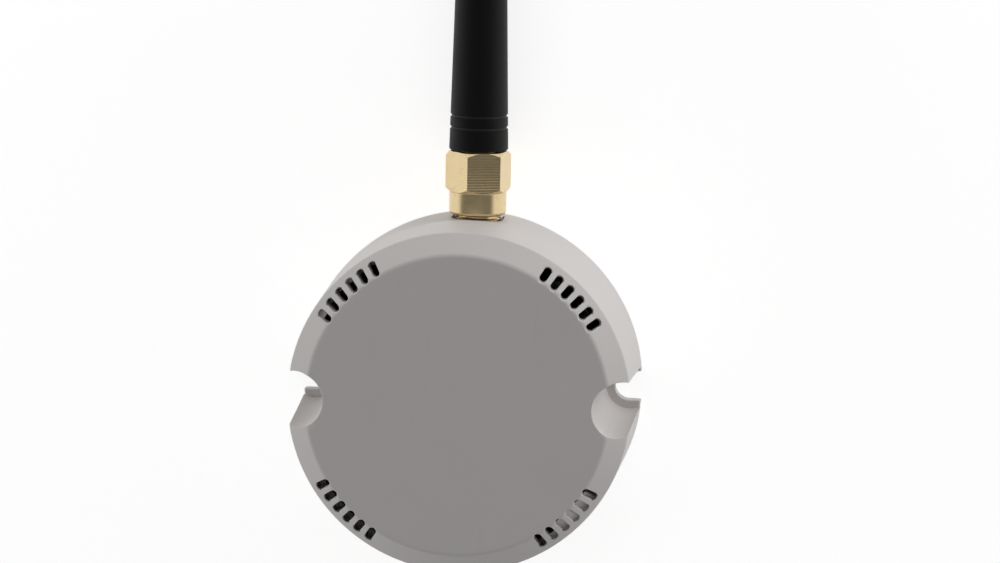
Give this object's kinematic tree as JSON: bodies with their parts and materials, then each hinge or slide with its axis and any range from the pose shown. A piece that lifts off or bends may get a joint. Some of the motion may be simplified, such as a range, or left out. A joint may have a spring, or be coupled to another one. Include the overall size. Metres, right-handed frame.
{
  "type": "bluetooth beacon",
  "caption": "Round wall-mounted bluetooth beacon with vented bevelled front, screw pockets in its edge and a screw-on stub antenna.",
  "frame": {"origin": "centre of the flat back face", "axes": "+Z out of the front face, +Y along the antenna, +X to the right seen from the front"},
  "size_m": [0.0478, 0.0982, 0.022],
  "materials": {
    "shell_plastic": "fine matt texture",
    "gilt_brass": "gilt, turned",
    "spring_steel": "bright",
    "cell_steel": "satin",
    "sleeve_rubber": "matt",
    "white_core": "waxy",
    "core_plastic": "plain",
    "copper_wire": "bare",
    "board_laminate": "solder mask",
    "black_plastic": "moulded",
    "screw_steel": "plated",
    "shield_metal": "tinned",
    "passive_body": "fired",
    "capacitor_metal": "drawn",
    "light_body": "clear top",
    "button_plastic": "moulded"
  },
  "bodies": {
    "base": {"base_cover": "shell_plastic", "circuit_board": "board_laminate", "board_screws": "screw_steel", "jack_body": "gilt_brass", "jack_insulator": "white_core", "jack_contact": "gilt_brass", "cell_holder": "black_plastic", "negative_contact": "spring_steel", "positive_clip": "spring_steel", "cell_can": "cell_steel", "cell_gasket": "core_plastic", "cell_cap": "cell_steel", "shield_can": "shield_metal", "radio_chip": "black_plastic", "crystal": "shield_metal", "amplifier_chip": "black_plastic", "passives": "passive_body", "capacitor_base": "black_plastic", "capacitor_can": "capacitor_metal", "status_light": "light_body", "switch_housing": "black_plastic", "switch_frame": "spring_steel", "switch_dome": "spring_steel"},
    "shell": {"front_shell": "shell_plastic"},
    "antenna": {"plug_gasket": "sleeve_rubber", "plug_body": "gilt_brass", "snap_ring": "spring_steel", "plug_insulator": "white_core", "plug_pin": "gilt_brass", "antenna_sleeve": "sleeve_rubber", "antenna_core": "core_plastic", "antenna_wire": "copper_wire"},
    "nut": {"coupling_nut": "gilt_brass"},
    "button": {"switch_button": "button_plastic"}
  },
  "joints": [
    {"name": "nut_turn", "type": "hinge", "parent": "antenna", "child": "nut", "pos_m": [0.0008, 0.0335, 0.0061], "axis": [0, 1, 0], "range_deg": [0, 2880]},
    {"name": "antenna_lift", "type": "slide", "parent": "base", "child": "antenna", "axis": [0, 1, 0], "range_m": [0, 0.00564]},
    {"name": "shell_lift", "type": "slide", "parent": "base", "child": "shell", "axis": [0, 0, 1], "range_m": [0, 0.03]},
    {"name": "button_press", "type": "slide", "parent": "base", "child": "button", "axis": [0, 0, -1], "range_m": [0, 0.00025], "stiffness_N_per_m": 6400, "springref_m": -0.0001}
  ],
  "couplings": [
    {"joint": "nut_turn", "follows": "antenna_lift", "rad_per_m": 8905.3}
  ]
}
